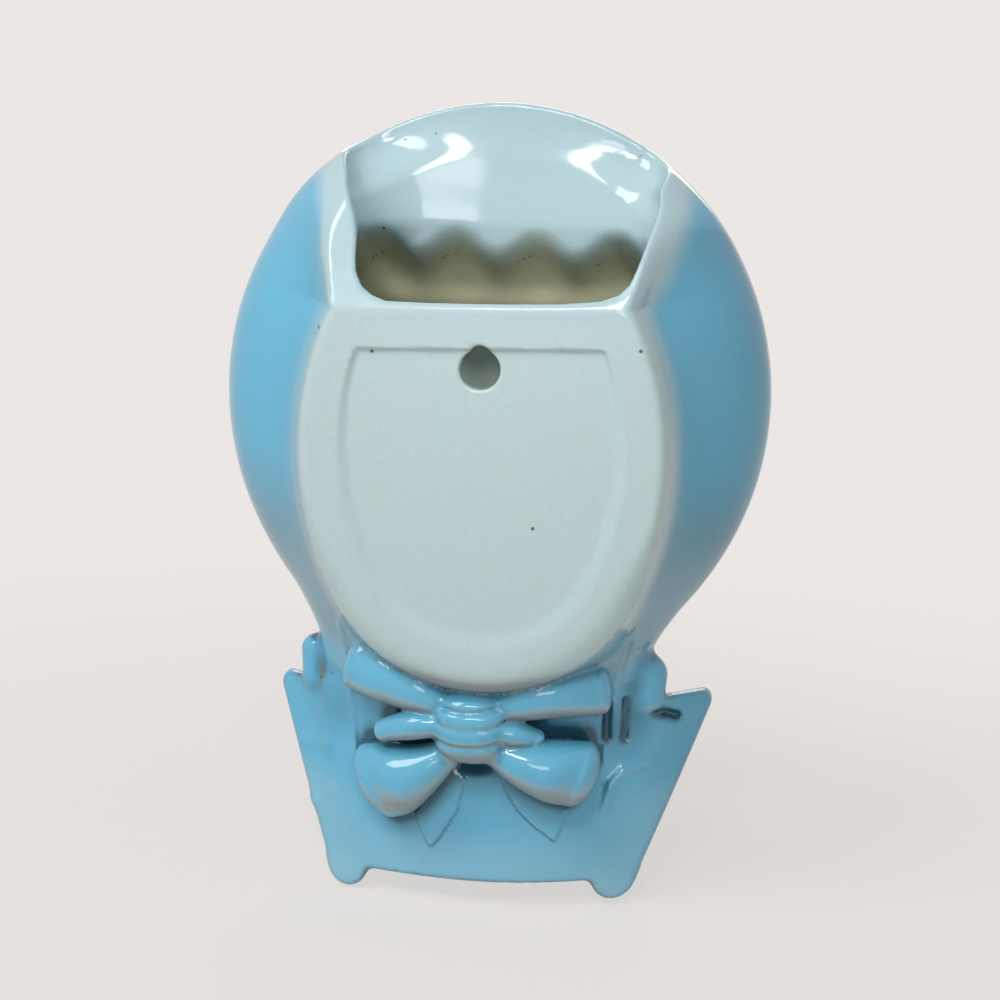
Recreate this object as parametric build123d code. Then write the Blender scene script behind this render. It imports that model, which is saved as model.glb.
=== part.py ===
from build123d import *
import math
import os

# A wall pocket shaped like a round bonnet, described from the side that hangs on the wall:
# X runs to the right, Z up, and Y from the wall into the depth of the vase.
# The origin is the middle of the hanging hole, on the floor of the plate's recess.
# Lengths are in millimetres and angles in degrees. A drop is a distance below the hole.

# The casting
wall = 4.5                     # thickness of the cast wall
overrun = 5.0                  # how far a cutting shape runs past what it cuts

# Back plate and its flanks
rim_height = 1.0               # the rim stands this far off the recess floor, towards the wall
plate_thickness = 4.5          # from the rim face to the inside
plate_turn = 2.4               # the plate sits turned on the body, up to the right
ridge_rise = 12.4              # the ridge over the hole
ridge_half_width = 31.4
plate_half_width = 38.6
plate_widest_drop = 17.0
plate_bottom_drop = 69.5
plate_bottom_radius = 34.6
plate_bottom_half_angle = 67.7  # half of the arc that closes the plate below
shoulder_left_half_width = 32.0  # outer edges of the bands beside the mouth
shoulder_right_half_width = 37.5
shoulder_rise = 38.0
shoulder_lobe = 44.0           # above the ridge the flanks are rounded over by this much
shoulder_crown_rise = 46.0
flank_angle = 20.0             # how far the flanks spread as they leave the wall
flank_depth = 30.0             # where the flanks end inside the bonnet
flank_inset = 1.5              # the flanks stay this far inside the bonnet's outline

# Recess and hanging hole
recess_side_margin = 7.7
recess_top_drop = 7.7          # recess below the ridge
recess_draft = 1.0             # its edges slope in by this much
hole_radius = 4.3
slot_width = 4.8
slot_rise = 5.2                # top of the slot over the middle of the hole

# Bonnet
bonnet_half_width = 62.0
bonnet_half_height = 65.5
bonnet_centre_drop = 10.0
bonnet_middle_depth = 36.0     # depth of the widest section
crown_bulge = 33.0             # front dome, beyond the widest section
back_lobe = 22.0               # rounding of the lobe towards the wall

# Mouth
facet_angle = 26.0             # the face round the mouth leans away from the wall
mouth_land = 1.6               # strip between the ridge and the mouth
mouth_left_half_width = 25.5
mouth_right_half_width = 29.0
mouth_left_lean = 9.9
mouth_right_lean = 19.3
mouth_corner_radius = 7.0
mouth_height = 62.0            # its sides run on up to the rim
rim_width = 2.4                # the rim over the mouth follows the bonnet's outline
brow_rise = 25.0               # the hollow lies under this level
brow_setback = 4.0             # the brow over it hangs this far behind the widest section
# Behind the mouth and over the brow the casting is scooped out as part of an oval
scoop_shift = 4.0
scoop_depth = 4.0
scoop_rise = 55.0
scoop_half_width = 43.0
scoop_half_depth = 35.0
scoop_half_height = 42.0

# Neck, as level oval sections
neck_top_drop = 58.0
neck_length = 52.0
neck_half_width = 39.5
neck_half_depth = 22.0
neck_depth = 30.0              # depth of its middle
# down the neck, half width, half depth, and shift of the middle as a share of the half depth
neck_section_shares = (
    (0.00, 1.00, 1.00, 0.00),
    (0.23, 0.94, 0.95, 0.00),
    (0.46, 0.84, 0.82, 0.00),
    (0.69, 0.66, 0.59, 0.00),
    (0.90, 0.36, 0.36, -0.28),
    (1.00, 0.12, 0.14, -0.42),
)
neck_floor_drop = 90.0         # bottom of the hollow

# Collar
collar_cover = 1.5             # its back face stands this far proud of the neck where they join
collar_join_drop = 90.0        # the neck passes through the collar above this level
collar_radius = 78.0           # the wings curve away from the wall
collar_thickness = 4.0
collar_flare_angle = 6.0       # it swings back towards the wall as it goes down
collar_turn = 1.0
collar_top_drop = 76.0
collar_top_half_width = 49.0
collar_bottom_drop = 118.0
collar_bottom_half_width = 36.0
collar_corner_radius = 2.2
collar_lobe_radius = 5.0       # the rounded lobes at its lower corners
collar_lobe_half_spacing = 31.0
collar_lobe_drop = 117.4

# Ribbon bow at the nape
bow_drop = 79.5
bow_half_width = 31.0
knot_half_width = 8.4
knot_half_depth = 7.0
knot_half_height = 8.4
knot_sink = 3.0                # how deep the knot sits in the neck
# across and up to the root, across and up to the tip, tip beyond the knot's depth, root and tip radius,
# all as shares of the bow's half width
loop_shares = {
    "bow_loop_upper_left": (-0.16, 0.11, -0.77, 0.30, 0.26, 0.13, 0.22),
    "bow_loop_upper_right": (0.16, 0.11, 0.72, 0.31, 0.26, 0.13, 0.20),
    "bow_loop_lower_left": (-0.13, -0.10, -0.62, -0.43, 0.27, 0.15, 0.29),
    "bow_loop_lower_right": (0.13, -0.08, 0.66, -0.34, 0.27, 0.15, 0.27),
    "bow_fold_left": (-0.18, 0.01, -0.46, -0.01, 0.10, 0.09, 0.11),
    "bow_fold_right": (0.18, 0.01, 0.42, -0.02, 0.10, 0.09, 0.11),
}

# Ribbon tails, in low relief on the collar
tail_relief = 1.0
tail_length = 27.0
# corners across and down from under the knot
tail_corner_shares = {
    "bow_tail_left": ((-0.26, 0.00), (-0.08, 0.00), (-0.16, 0.36), (-0.40, 1.00), (-0.54, 0.72)),
    "bow_tail_right": ((0.10, 0.00), (0.30, 0.00), (0.72, 0.62), (0.63, 0.89), (0.36, 0.52), (0.20, 0.32)),
}

# Gathers beside the neck
gather_drop = 76.0
# out past the neck and beyond its middle, up to the lower and upper ball, and the radii of the two,
# all as shares of the neck's half width
gather_shares = {
    "gather_outer": (0.05, 0.10, -0.05, 0.05, 0.13, 0.14),
    "gather_inner": (-0.05, -0.15, -0.25, 0.10, 0.09, 0.12),
}

# Frill and pleats on the front of the bonnet
frill_rise = 22.0              # row of puffs over the hole's height
frill_puff_count = 6
frill_puff_pitch = 19.5        # round the bonnet, under the width of a puff, so that they touch
frill_puff_radius = 14.0
frill_puff_proud = 4.5
frill_band_height = 11.5
frill_band_proud = 2.4
pleat_count = 13
pleat_step = 9.0               # degrees round the bonnet
pleat_radius = 2.6
pleat_proud = 1.7
pleat_top_rise = 17.0
pleat_bottom_drop = 63.0

# Ribbon round the front of the neck
ribbon_top_drop = 71.0
ribbon_width = 9.0
ribbon_proud = 2.0
ribbon_back_depth = 34.0       # the ribbon ends among the gathers

plate_front = plate_thickness - rim_height
brow_depth = bonnet_middle_depth - brow_setback


def upright(depth):
    # a drawing plane facing the wall, with its own y as the model's Z
    return Plane(origin=(0, depth, 0), x_dir=(1, 0, 0), z_dir=(0, -1, 0))


def slab(sketch, start, end):
    # a sketch in x and z, carried through the depth from start to end
    return extrude(upright(start) * sketch, amount=end - start, dir=(0, 1, 0))


def turned(shape, angle):
    # turned about the hole's axis, up on the right for a positive angle
    return Rot(0, -angle, 0) * shape


def plate_sides(grow):
    # the two sides and the round bottom, from the left end of the ridge to its right end
    middle = (0, plate_bottom_radius - plate_bottom_drop)
    radius = plate_bottom_radius + grow
    across = radius * math.sin(math.radians(plate_bottom_half_angle))
    down = middle[1] - radius * math.cos(math.radians(plate_bottom_half_angle))
    end = ridge_half_width + grow
    widest = plate_half_width + grow
    left = ThreePointArc((-end, ridge_rise), (-widest, -plate_widest_drop), (-across, down))
    bottom = ThreePointArc((-across, down), (0, middle[1] - radius), (across, down))
    right = ThreePointArc((across, down), (widest, -plate_widest_drop), (end, ridge_rise))
    return left + bottom + right


def flank_outline(grow):
    # the plate's outline carried on up beside the mouth
    end = ridge_half_width + grow
    left_shoulder = (-shoulder_left_half_width - grow, shoulder_rise)
    right_shoulder = (shoulder_right_half_width + grow, shoulder_rise)
    left = Line((-end, ridge_rise), left_shoulder)
    right = Line((end, ridge_rise), right_shoulder)
    crown = ThreePointArc(left_shoulder, (0, shoulder_crown_rise + grow), right_shoulder)
    return make_face(plate_sides(grow) + left + crown + right)


def flanks(inset):
    spread = (flank_depth + rim_height) * math.tan(math.radians(flank_angle))
    near = upright(-rim_height) * flank_outline(-inset)
    far = upright(flank_depth) * flank_outline(spread - inset)
    body = turned(loft([near, far], ruled=True), plate_turn)
    outline = Ellipse(bonnet_half_width - flank_inset - inset, bonnet_half_height - flank_inset - inset)
    body &= slab(Pos(0, -bonnet_centre_drop) * outline, -rim_height - overrun, flank_depth + overrun)
    return body - (level_band(ridge_rise, bonnet_half_height) - bonnet(flank_inset + inset, shoulder_lobe))


def bonnet(inset, lobe_size=back_lobe):
    # round in plan and section, then drawn out to its height
    half_width = bonnet_half_width - inset
    lobe = lobe_size - inset
    flat = half_width - lobe
    middle = bonnet_middle_depth
    back = Line((0, middle - lobe), (flat, middle - lobe))
    lobe_arc = EllipticalCenterArc((flat, middle), lobe, lobe, start_angle=-90, arc_size=90)
    dome_arc = EllipticalCenterArc((0, middle), half_width, crown_bulge - inset, start_angle=0, arc_size=90)
    axis_line = Line((0, middle + crown_bulge - inset), (0, middle - lobe))
    profile = make_face(back + lobe_arc + dome_arc + axis_line)
    stretch = (bonnet_half_height - inset) / half_width
    return Pos(0, 0, -bonnet_centre_drop) * scale(revolve(profile, Axis.Y), by=(1, 1, stretch))


def neck_body(grow, section_shares=neck_section_shares):
    sections = []
    for down, width, depth, shift in section_shares:
        middle = neck_depth + shift * neck_half_depth
        oval = Ellipse(width * neck_half_width + grow, depth * neck_half_depth + grow)
        sections.append(Pos(0, middle, -neck_top_drop - down * neck_length) * oval)
    return loft(sections)


def neck_sizes(drop):
    # half width and half depth of the neck at a level, between its sections
    along = (drop - neck_top_drop) / neck_length
    for upper, lower in zip(neck_section_shares, neck_section_shares[1:]):
        if along <= lower[0]:
            break
    share = (along - upper[0]) / (lower[0] - upper[0])
    width = upper[1] + share * (lower[1] - upper[1])
    depth = upper[2] + share * (lower[2] - upper[2])
    return width * neck_half_width, depth * neck_half_depth


def facet_cut():
    # everything between the wall and the leaning face round the mouth
    rise = mouth_height + overrun
    lean = rise * math.tan(math.radians(facet_angle))
    back = -rim_height - overrun
    side = Polyline(
        (-rim_height, ridge_rise),
        (lean - rim_height, ridge_rise + rise),
        (back, ridge_rise + rise),
        (back, ridge_rise),
        close=True,
    )
    return extrude(Plane.YZ * make_face(side), amount=bonnet_half_width, both=True)


def mouth_cut():
    base = ridge_rise + mouth_land
    left = mouth_left_half_width + mouth_height * math.tan(math.radians(mouth_left_lean))
    right = mouth_right_half_width + mouth_height * math.tan(math.radians(mouth_right_lean))
    outline = make_face(Polyline(
        (-mouth_left_half_width, base),
        (mouth_right_half_width, base),
        (right, base + mouth_height),
        (-left, base + mouth_height),
        close=True,
    ))
    outline = fillet(outline.vertices().sort_by(Axis.Y)[:2], mouth_corner_radius)
    near = -rim_height - overrun
    rim = Pos(0, -bonnet_centre_drop) * Ellipse(bonnet_half_width - rim_width, bonnet_half_height - rim_width)
    opening = turned(slab(outline, near, bonnet_middle_depth + overrun), plate_turn)
    opening &= slab(rim, near, bonnet_middle_depth + overrun)
    scoop = oval(
        (scoop_shift, scoop_depth, scoop_rise),
        (scoop_half_width, scoop_half_depth, scoop_half_height),
    )
    under_brow = level_band(-bonnet_half_height, brow_rise) - deeper_than(brow_depth)
    return opening & (scoop + under_brow)


def recess_cut():
    near = plate_sides(-recess_side_margin)
    far = plate_sides(-recess_side_margin - recess_draft)
    faces = []
    for depth, sides in ((-rim_height, near), (0, far)):
        faces.append(upright(depth) * make_face(sides + Line(sides @ 0, sides @ 1)))
    cut = loft(faces, ruled=True)
    top = ridge_rise - recess_top_drop
    below = Pos(0, top - plate_bottom_drop / 2) * Rectangle(2 * plate_half_width, plate_bottom_drop)
    return cut & slab(below, -rim_height - overrun, overrun)


def keyhole_cut():
    top = Pos(0, slot_rise - slot_width / 2) * Circle(slot_width / 2)
    shank = Pos(0, (slot_rise - slot_width / 2) / 2) * Rectangle(slot_width, slot_rise - slot_width / 2)
    return slab(Circle(hole_radius) + shank + top, -rim_height - overrun, plate_front + overrun)


def oval(centre, half_sizes):
    largest = max(half_sizes)
    shares = [size / largest for size in half_sizes]
    return Pos(*centre) * scale(Sphere(largest), by=tuple(shares))


def puff(root, tip, root_radius, tip_radius):
    # a smooth taper from a small ball at the root to a larger one at the tip
    root = Vector(*root)
    run = Vector(*tip) - root
    swell = math.asin((tip_radius - root_radius) / run.length)
    start = (-root_radius * math.sin(swell), root_radius * math.cos(swell))
    end = (run.length - tip_radius * math.sin(swell), tip_radius * math.cos(swell))
    flank = Line(start, end)
    round_tip = CenterArc((run.length, 0), tip_radius, 0, 90 + math.degrees(swell))
    foot = Line((start[0], 0), start)
    profile = make_face(foot + flank + round_tip + Line((run.length + tip_radius, 0), (start[0], 0)))
    aim = Plane(origin=root, x_dir=run, z_dir=run.cross(Vector(0, 1, 0)))
    return aim * revolve(profile, Axis.X)


def collar_shell(near, far):
    # part of a cone about an upright axis in front of the vase, between two distances off its back face
    flare_share = math.tan(math.radians(collar_flare_angle))
    join_depth = neck_depth - neck_sizes(collar_join_drop)[1] - collar_cover
    top = collar_top_drop - overrun
    bottom = collar_bottom_drop + collar_lobe_radius + overrun
    top_depth = join_depth + (collar_join_drop - top) * flare_share
    bottom_depth = join_depth - (bottom - collar_join_drop) * flare_share
    section = Polyline(
        (top_depth + near, -top),
        (top_depth + far, -top),
        (bottom_depth + far, -bottom),
        (bottom_depth + near, -bottom),
        close=True,
    )
    axis = Axis((0, join_depth + collar_radius, 0), (0, 0, 1))
    return revolve(Plane.YZ * make_face(section), axis)


def collar_outline():
    corners = make_face(Polyline(
        (-collar_top_half_width, -collar_top_drop),
        (collar_top_half_width, -collar_top_drop),
        (collar_bottom_half_width, -collar_bottom_drop),
        (-collar_bottom_half_width, -collar_bottom_drop),
        close=True,
    ))
    corners = fillet(corners.vertices(), collar_corner_radius)
    for side in (-1, 1):
        corners += Pos(side * collar_lobe_half_spacing, -collar_lobe_drop) * Circle(collar_lobe_radius)
    return corners


def collar_piece(outline, near, far):
    prism = slab(outline, 0, bonnet_middle_depth + overrun)
    return turned(prism, collar_turn) & collar_shell(near, far)


def level_share(height):
    # how wide the bonnet is at a height on Z, as a share of its widest section
    up = (height + bonnet_centre_drop) / bonnet_half_height
    return math.sqrt(1 - up * up)


def crown_line(height):
    # level line round the front of the bonnet, at a height on Z
    share = level_share(height)
    line = EllipticalCenterArc(
        (0, 0), bonnet_half_width * share, crown_bulge * share, start_angle=0, arc_size=180
    )
    return Pos(0, bonnet_middle_depth, height) * line


def crown_point(angle, height):
    # a point on the front of the bonnet, at an angle round it and a height on Z
    across = bonnet_half_width * level_share(height) * math.sin(math.radians(angle))
    depth = bonnet_middle_depth + crown_bulge * level_share(height) * math.cos(math.radians(angle))
    return Vector(across, depth, height)


def crown_normal(point):
    return Vector(
        point.X / bonnet_half_width**2,
        (point.Y - bonnet_middle_depth) / crown_bulge**2,
        (point.Z + bonnet_centre_drop) / bonnet_half_height**2,
    ).normalized()


def spread(count, step):
    return [(number - (count - 1) / 2) * step for number in range(count)]


def level_band(low, high):
    size = 4 * bonnet_half_width
    return Pos(0, bonnet_middle_depth, (low + high) / 2) * Box(size, size, high - low)


def deeper_than(depth):
    # everything further from the wall than depth
    size = 4 * bonnet_half_width
    return Pos(0, depth + size / 2, 0) * Box(size, size, size)


def largest(shape):
    return shape.solids().sort_by(SortBy.VOLUME)[-1]


def frill():
    puffs = bonnet(-frill_band_proud) & level_band(frill_rise, frill_rise + frill_band_height)
    puffs &= deeper_than(bonnet_middle_depth)
    line = crown_line(frill_rise)
    for distance in spread(frill_puff_count, frill_puff_pitch):
        point = line.position_at(line.length / 2 + distance, PositionMode.LENGTH)
        centre = point - crown_normal(point) * (frill_puff_radius - frill_puff_proud)
        puffs += Pos(*centre) * Sphere(frill_puff_radius)
    return puffs


def pleat(angle):
    heights = (pleat_top_rise, (pleat_top_rise - pleat_bottom_drop) / 2, -pleat_bottom_drop)
    points = []
    for height in heights:
        point = crown_point(angle, height)
        points.append(point - crown_normal(point) * (pleat_radius - pleat_proud))
    path = ThreePointArc(*points)
    return sweep(Plane(origin=path @ 0, z_dir=path % 0) * Circle(pleat_radius), path)


flank_body = flanks(0)
bonnet_body = bonnet(0)
body = bonnet_body + flank_body - turned(facet_cut(), plate_turn)
hollow = bonnet(wall) + flanks(wall / math.cos(math.radians(flank_angle)))
hollow &= level_band(-bonnet_centre_drop - bonnet_half_height, brow_rise)
plate_region = slab(Rectangle(4 * plate_half_width, 4 * plate_bottom_drop), -rim_height - overrun, plate_front)
mouth = mouth_cut()
neck_full = neck_body(0)
neck_hollow = neck_body(-wall, neck_section_shares[:4])
neck_hollow -= level_band(-neck_floor_drop - neck_length, -neck_floor_drop)
pieces = {}

# Rear plate, with its recess and keyhole, and the shell that rises from it, in two halves
# that meet at the widest section
recess = turned(recess_cut(), plate_turn)
pieces["rear_plate"] = (body & plate_region) - recess - keyhole_cut() - mouth
shell = body - plate_region - hollow - neck_hollow - mouth
pieces["pocket_back"] = shell - deeper_than(bonnet_middle_depth)
pieces["pocket_front"] = shell & deeper_than(bonnet_middle_depth)

# Collar and neck: the neck passes through the top of the collar and ends against its front
collar_full = collar_piece(collar_outline(), 0, collar_thickness)
pieces["collar"] = collar_full - (neck_full & level_band(-collar_join_drop, 0)) - body
pieces["neck"] = neck_full - body - neck_hollow - pieces["collar"]

# Bow: each loop is cut by what lies under it and by the pieces nearer the knot
knot_depth = neck_depth - neck_sizes(bow_drop)[1] - knot_half_depth + knot_sink
knot = oval((0, knot_depth, -bow_drop), (knot_half_width, knot_half_depth, knot_half_height))
bow = [knot]
pieces["bow_knot"] = knot - neck_full - body
for name, (root_x, root_z, tip_x, tip_z, tip_y, root_radius, tip_radius) in loop_shares.items():
    size = bow_half_width
    loop = puff(
        (root_x * size, knot_depth, root_z * size - bow_drop),
        (tip_x * size, knot_depth + tip_y * size, tip_z * size - bow_drop),
        root_radius * size,
        tip_radius * size,
    )
    pieces[name] = loop - neck_full - body - collar_full
    for inner in bow:
        pieces[name] -= inner
    pieces[name] = largest(pieces[name])
    bow.append(loop)

# Tails
for name, corners in tail_corner_shares.items():
    top = bow_drop + knot_half_height - knot_sink
    outline = make_face(Polyline(*[(x * tail_length, -top - z * tail_length) for x, z in corners], close=True))
    pieces[name] = collar_piece(outline, -tail_relief, 0) - neck_full - body
    for loop in bow:
        pieces[name] -= loop

# Gathers
gathers = []
for kind, (out, beyond, low, high, low_radius, high_radius) in gather_shares.items():
    for side, side_name in ((-1, "left"), (1, "right")):
        size = neck_half_width
        across = side * (neck_sizes(gather_drop)[0] + out * size)
        depth = neck_depth + beyond * size
        foot = (across, depth, low * size - gather_drop)
        head = (across, depth, high * size - gather_drop)
        lobe = puff(foot, head, low_radius * size, high_radius * size)
        lobe += Pos(*foot) * Sphere(low_radius * size)
        name = kind + "_" + side_name
        pieces[name] = lobe - neck_full - body - collar_full
        for other in gathers + bow:
            pieces[name] -= other
        pieces[name] = largest(pieces[name])
        gathers.append(lobe)

# Ribbon round the front of the neck
ribbon = neck_body(ribbon_proud) & level_band(-ribbon_top_drop - ribbon_width, -ribbon_top_drop)
pieces["neck_ribbon"] = (ribbon & deeper_than(ribbon_back_depth)) - neck_full - body - collar_full
for lobe in gathers:
    pieces["neck_ribbon"] -= lobe

# Front of the bonnet
frill_full = frill()
pieces["front_frill"] = frill_full - bonnet_body
pleats = []
for angle in spread(pleat_count, pleat_step):
    pleats += (pleat(angle) - bonnet_body - frill_full).solids()
pieces["front_pleats"] = Compound(pleats)


def main():
    os.makedirs("parts", exist_ok=True)
    for name, shape in pieces.items():
        export_step(shape, os.path.join("parts", name + ".step"))


if __name__ == "__main__":
    main()
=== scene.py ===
import math
from functools import partial

import bpy
import numpy as np
from mathutils import Matrix, Vector


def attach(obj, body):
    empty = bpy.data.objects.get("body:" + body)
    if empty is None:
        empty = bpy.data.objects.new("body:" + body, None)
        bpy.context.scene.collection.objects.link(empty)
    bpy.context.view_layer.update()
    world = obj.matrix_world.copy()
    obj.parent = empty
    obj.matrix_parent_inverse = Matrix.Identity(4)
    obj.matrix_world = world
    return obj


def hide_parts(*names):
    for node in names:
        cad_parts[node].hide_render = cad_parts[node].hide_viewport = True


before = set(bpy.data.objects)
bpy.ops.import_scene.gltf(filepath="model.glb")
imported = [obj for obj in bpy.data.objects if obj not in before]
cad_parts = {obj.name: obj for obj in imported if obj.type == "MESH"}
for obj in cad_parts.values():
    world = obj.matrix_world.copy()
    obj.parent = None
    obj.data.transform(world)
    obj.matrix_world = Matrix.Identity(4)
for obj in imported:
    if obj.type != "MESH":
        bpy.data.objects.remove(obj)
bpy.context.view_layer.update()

# Everything below is written in millimetres from the middle of the hanging hole:
# x to the right, y from the wall into the vase, z up. Meshes are scaled to metres at the end.
mm = 0.001


# How close the clay is sampled, as stretches of an axis: start, end, step
claySteps = {
    "x": ((-64, -50, 1.0), (-50, 50, 0.7), (50, 64, 1.0)),
    "y": ((-3, 12, 0.6), (12, 40, 0.8), (40, 73, 1.1)),
    "z": ((-131, -112, 0.9), (-112, -62, 0.62), (-62, 2, 1.0), (2, 22, 0.6), (22, 58, 0.8)),
    "bowTop": -57.0,       # nothing of the neck's trimmings reaches higher
    "mapStep": 0.4, "mapLow": (-68.0, -134.0), "mapHigh": (68.5, 62.5),     # the flat distance maps
}


def stepped(stretches):
    parts = [np.arange(start, end, step) for start, end, step in stretches]
    return np.append(np.concatenate(parts), stretches[-1][1]).astype(np.float32)


# Soft joins and cuts, as clay is joined and trimmed: the blend is the width of the rounding
def join(a, b, blend):
    h = np.maximum(blend - np.abs(a - b), 0) / blend
    return np.minimum(a, b) - h * h * blend * 0.25


def keepInside(a, b, blend):
    return -join(-a, -b, blend)


def cut(a, b, blend):
    return -join(-a, b, blend)


def smoothRamp(t):
    t = np.clip(t, 0, 1)
    return t * t * (3 - 2 * t)


def ramp(at, start, width):
    # from 0 at the start to 1 past the width, upwards, or downwards where the width is negative
    return smoothRamp((at - start) / width)


def smoothTable(at, heights, values, width=2.2, step=0.25, reach=24):
    # a table of heights and values, its corners rounded over the width
    edge = reach * step
    fine = np.arange(heights[0] - 2 * edge, heights[-1] + 2 * edge, step)
    blur = np.exp(-0.5 * (np.arange(-reach, reach + 1) * step / width) ** 2)
    padded = np.interp(np.arange(fine[0] - edge, fine[-1] + edge + 0.01, step), heights, values)
    soft = np.convolve(padded, blur / blur.sum(), mode="valid")[:len(fine)]
    return np.interp(at, fine, soft)


def turnedBack(x, z, degrees):
    # coordinates on a form that is turned about the hole, up on the right
    c, s = math.cos(math.radians(degrees)), math.sin(math.radians(degrees))
    return x * c + z * s, z * c - x * s


def rounded(places, halves):
    # near distance to a round form, from places measured from its middle and half its sizes
    k0 = np.sqrt(sum((place / half) ** 2 for place, half in zip(places, halves)))
    k1 = np.sqrt(sum((place / half ** 2) ** 2 for place, half in zip(places, halves))) + 1e-4
    return k0 * (k0 - 1) / k1


def oval(x, y, z, centre, half):
    return rounded((x - centre[0], y - centre[1], z - centre[2]), half)


def taper(x, y, z, start, end, startRadius, endRadius):
    start, end = np.array(start, float), np.array(end, float)
    run = end - start
    t = ((x - start[0]) * run[0] + (y - start[1]) * run[1] + (z - start[2]) * run[2]) / run.dot(run)
    t = np.clip(t, 0, 1)
    dx, dy, dz = x - start[0] - t * run[0], y - start[1] - t * run[1], z - start[2] - t * run[2]
    return np.sqrt(dx * dx + dy * dy + dz * dz) - (startRadius + (endRadius - startRadius) * t)


def arc(first, middle, last, count=14):
    # points on the circle through three points
    ax, ay = first
    bx, by = middle
    cx, cy = last
    d = 2 * (ax * (by - cy) + bx * (cy - ay) + cx * (ay - by))
    a2, b2, c2 = ax * ax + ay * ay, bx * bx + by * by, cx * cx + cy * cy
    ux = (a2 * (by - cy) + b2 * (cy - ay) + c2 * (ay - by)) / d
    uy = (a2 * (cx - bx) + b2 * (ax - cx) + c2 * (bx - ax)) / d
    radius = math.hypot(ax - ux, ay - uy)
    angles = np.unwrap([math.atan2(py - uy, px - ux) for px, py in (first, middle, last)])
    turns = np.linspace(angles[0], angles[2], count)
    return [(ux + radius * math.cos(t), uy + radius * math.sin(t)) for t in turns]


class FlatMap:
    # distance to an outline drawn in x and z, negative inside it when it is closed

    def __init__(self, points, closed=True):
        self.step = claySteps["mapStep"]
        self.low = claySteps["mapLow"]
        sides = [np.arange(low, high, self.step) for low, high in zip(self.low, claySteps["mapHigh"])]
        gx, gz = np.meshgrid(*sides, indexing="ij")
        points = np.array(points, float)
        ends = np.roll(points, -1, axis=0) if closed else points[1:]
        nearest = np.full(gx.shape, 1e9)
        inside = np.zeros(gx.shape, bool)
        for (ax, az), (bx, bz) in zip(points, ends):
            rx, rz = bx - ax, bz - az
            t = np.clip(((gx - ax) * rx + (gz - az) * rz) / (rx * rx + rz * rz + 1e-9), 0, 1)
            nearest = np.minimum(nearest, (gx - ax - t * rx) ** 2 + (gz - az - t * rz) ** 2)
            if closed and az != bz:
                crossed = (az > gz) != (bz > gz)
                inside ^= crossed & (gx < ax + (gz - az) * rx / rz)
        nearest = np.sqrt(nearest)
        self.table = np.where(inside, -nearest, nearest).astype(np.float32)

    def __call__(self, x, z):
        u = np.clip((x - self.low[0]) / self.step, 0, self.table.shape[0] - 1.001)
        v = np.clip((z - self.low[1]) / self.step, 0, self.table.shape[1] - 1.001)
        i, j = u.astype(int), v.astype(int)
        u, v = u - i, v - j
        t = self.table
        lower = t[i, j] * (1 - u) + t[i + 1, j] * u
        upper = t[i, j + 1] * (1 - u) + t[i + 1, j + 1] * u
        return lower * (1 - v) + upper * v


bonnet = {
    "halfWidth": 62.0, "halfHeight": 65.5, "centreZ": -10.0, "middleY": 36.0,
    "frontBulge": 33.0, "backLobe": 22.0, "shoulderLobe": 44.0,
    "wall": 4.5, "waviness": 0.12,
}

plate = {
    "turn": 2.4, "rimY": -1.0, "insideY": 3.5, "ridgeZ": 12.4,
    "flankAngle": 20.0, "flankDepth": 30.0, "flankInset": 1.5, "flankBlend": 9.0,
    "faceAngle": 26.0, "faceWall": 4.0,
    "recessMargin": 7.7, "recessTop": 4.7, "recessDepth": 1.0,
    "slopeHeights": (-64, -45, -10, 4.7), "slopeWidths": (6.5, 4.5, 2.6, 0.9),      # from the rim into the recess
    "holeRadius": 4.3, "slotHalf": 2.4, "slotTop": 5.2, "holeDeep": 9.0, "holeRound": 0.6,
    "rimRound": 1.6, "ridgeRound": 0.5,
    "lowRound": 3.6, "lowRoundFade": (-26, -26),        # how much rounder the rim is below that height
}
plateLine = (
    arc((-31.4, 12.4), (-38.6, -17.0), (-32.01, -48.03))
    + arc((-32.01, -48.03), (0, -69.5), (32.01, -48.03), 24)[1:]
    + arc((32.01, -48.03), (38.6, -17.0), (31.4, 12.4))[1:]
    + arc((37.5, 38.0), (0, 46.0), (-32.0, 38.0), 20)
)
plateMap = FlatMap(plateLine)

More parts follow.
